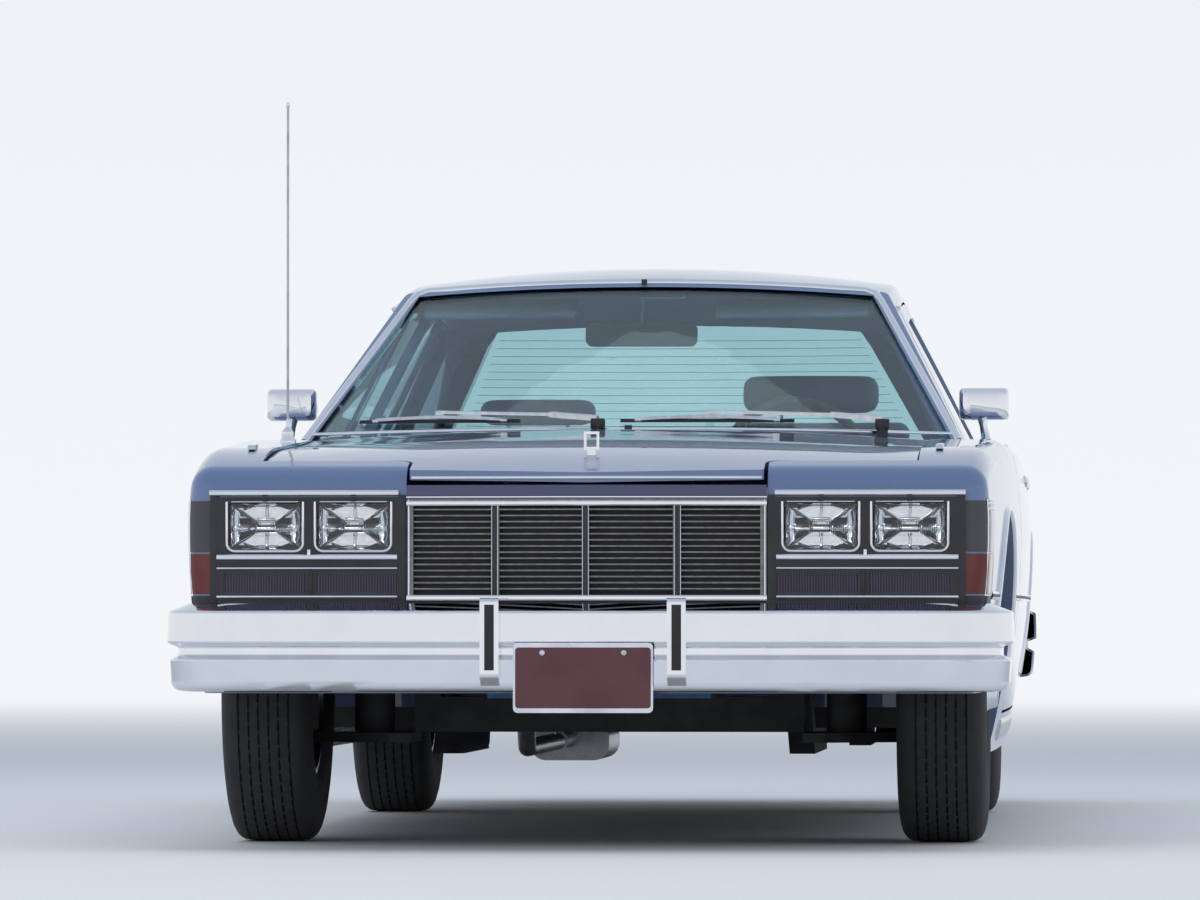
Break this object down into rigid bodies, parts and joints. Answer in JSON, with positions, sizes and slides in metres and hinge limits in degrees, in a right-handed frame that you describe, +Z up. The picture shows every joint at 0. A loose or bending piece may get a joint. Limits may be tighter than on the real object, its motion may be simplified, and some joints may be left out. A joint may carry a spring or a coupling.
{
  "type": "midsize sedan",
  "caption": "Three-box sedan with opening doors, hood and trunk lid, steered front wheels, a hollow cabin and a chromed nose with a segmented grille and rectangular lamps.",
  "frame": {"origin": "on the ground under the middle of the car", "axes": "+X towards the car's left side, +Y towards the tail, +Z up; the nose faces -Y"},
  "size_m": [1.874, 5.21, 1.7049],
  "materials": {
    "paint": "metallic blue clear coat",
    "chrome": "bright plated",
    "glass": "lightly tinted",
    "lamp_glass": "clear sealed beam",
    "amber": "amber lens",
    "red_lens": "red lens",
    "underbody": "black underbody paint",
    "iron": "cast and forged",
    "steel": "bright steel",
    "trim": "dark grained trim",
    "wheel_rim": "moulded rim",
    "cloth": "dark blue cloth",
    "tyre": "rubber"
  },
  "bodies": {
    "car_body": {"antenna": "steel", "dashboard": "trim", "door_posts": "paint", "drive_line": "iron", "engine": "iron", "exhaust": "steel", "firewall": "paint", "floor_pan": "underbody", "frame_rails": "underbody", "front_bumper": "chrome", "front_fenders": "paint", "front_seats": "cloth", "front_suspension": "underbody", "front_wheelhouses": "underbody", "fuel_tank": "underbody", "grille": "chrome", "headlamps": "lamp_glass", "inner_mirror": "trim", "lamp_bezels": "chrome", "nose_panel": "paint", "quarter_panels": "paint", "radiator": "underbody", "rear_axle": "iron", "rear_bumper": "chrome", "rear_deck": "paint", "rear_seat": "cloth", "rear_wheelhouses": "underbody", "rear_window": "glass", "roof": "paint", "signal_lamps": "amber", "sills": "paint", "tail_lamps": "red_lens", "tail_panel": "paint", "windshield": "glass", "wipers": "steel"},
    "hood": {"hood": "paint", "hood_ornament": "chrome"},
    "trunk_lid": {"trunk_lid": "paint"},
    "front_door_left": {"door_front_left": "paint", "glass_front_left": "glass", "mirror_left": "chrome"},
    "front_door_right": {"door_front_right": "paint", "glass_front_right": "glass", "mirror_right": "chrome"},
    "rear_door_left": {"door_rear_left": "paint", "glass_rear_left": "glass"},
    "rear_door_right": {"door_rear_right": "paint", "glass_rear_right": "glass"},
    "steered_hub_left": {"knuckle_left": "iron"},
    "steered_hub_right": {"knuckle_right": "iron"},
    "front_wheel_left": {"tyre_front_left": "tyre", "wheel_front_left": "chrome"},
    "front_wheel_right": {"tyre_front_right": "tyre", "wheel_front_right": "chrome"},
    "rear_wheel_left": {"tyre_rear_left": "tyre", "wheel_rear_left": "chrome"},
    "rear_wheel_right": {"tyre_rear_right": "tyre", "wheel_rear_right": "chrome"},
    "steering_wheel_body": {"steering_wheel": "wheel_rim"}
  },
  "joints": [
    {"name": "hood_hinge", "type": "hinge", "parent": "car_body", "child": "hood", "pos_m": [0, -1.16, 0.94], "axis": [-1, 0, 0], "range_deg": [0, 50]},
    {"name": "trunk_hinge", "type": "hinge", "parent": "car_body", "child": "trunk_lid", "pos_m": [0, 1.846, 0.908], "axis": [1, 0, 0], "range_deg": [0, 70]},
    {"name": "front_door_left_hinge", "type": "hinge", "parent": "car_body", "child": "front_door_left", "pos_m": [0.915, -0.85, 0.6], "axis": [0, 0, -1], "range_deg": [0, 65]},
    {"name": "rear_door_left_hinge", "type": "hinge", "parent": "car_body", "child": "rear_door_left", "pos_m": [0.923, 0.2185, 0.6], "axis": [0, 0, -1], "range_deg": [0, 65]},
    {"name": "steer_left", "type": "hinge", "parent": "car_body", "child": "steered_hub_left", "pos_m": [0.69, -1.65, 0.342], "axis": [0, 0, 1], "range_deg": [-33, 33]},
    {"name": "front_wheel_left_spin", "type": "hinge", "parent": "steered_hub_left", "child": "front_wheel_left", "pos_m": [0.762, -1.65, 0.342], "axis": [1, 0, 0], "continuous": true},
    {"name": "rear_wheel_left_spin", "type": "hinge", "parent": "car_body", "child": "rear_wheel_left", "pos_m": [0.743, 1.213, 0.342], "axis": [1, 0, 0], "continuous": true},
    {"name": "front_door_right_hinge", "type": "hinge", "parent": "car_body", "child": "front_door_right", "pos_m": [-0.915, -0.85, 0.6], "axis": [0, 0, 1], "range_deg": [0, 65]},
    {"name": "rear_door_right_hinge", "type": "hinge", "parent": "car_body", "child": "rear_door_right", "pos_m": [-0.923, 0.2185, 0.6], "axis": [0, 0, 1], "range_deg": [0, 65]},
    {"name": "steer_right", "type": "hinge", "parent": "car_body", "child": "steered_hub_right", "pos_m": [-0.69, -1.65, 0.342], "axis": [0, 0, 1], "range_deg": [-33, 33]},
    {"name": "front_wheel_right_spin", "type": "hinge", "parent": "steered_hub_right", "child": "front_wheel_right", "pos_m": [-0.762, -1.65, 0.342], "axis": [1, 0, 0], "continuous": true},
    {"name": "rear_wheel_right_spin", "type": "hinge", "parent": "car_body", "child": "rear_wheel_right", "pos_m": [-0.743, 1.213, 0.342], "axis": [1, 0, 0], "continuous": true},
    {"name": "steering_wheel_turn", "type": "hinge", "parent": "car_body", "child": "steering_wheel_body", "pos_m": [0.366, -0.234, 0.875], "axis": [0, 0.9272, 0.3746], "range_deg": [-462, 462]}
  ],
  "couplings": [
    {"joint": "steer_right", "follows": "steer_left", "ratio": 1},
    {"joint": "steering_wheel_turn", "follows": "steer_left", "ratio": 14}
  ]
}
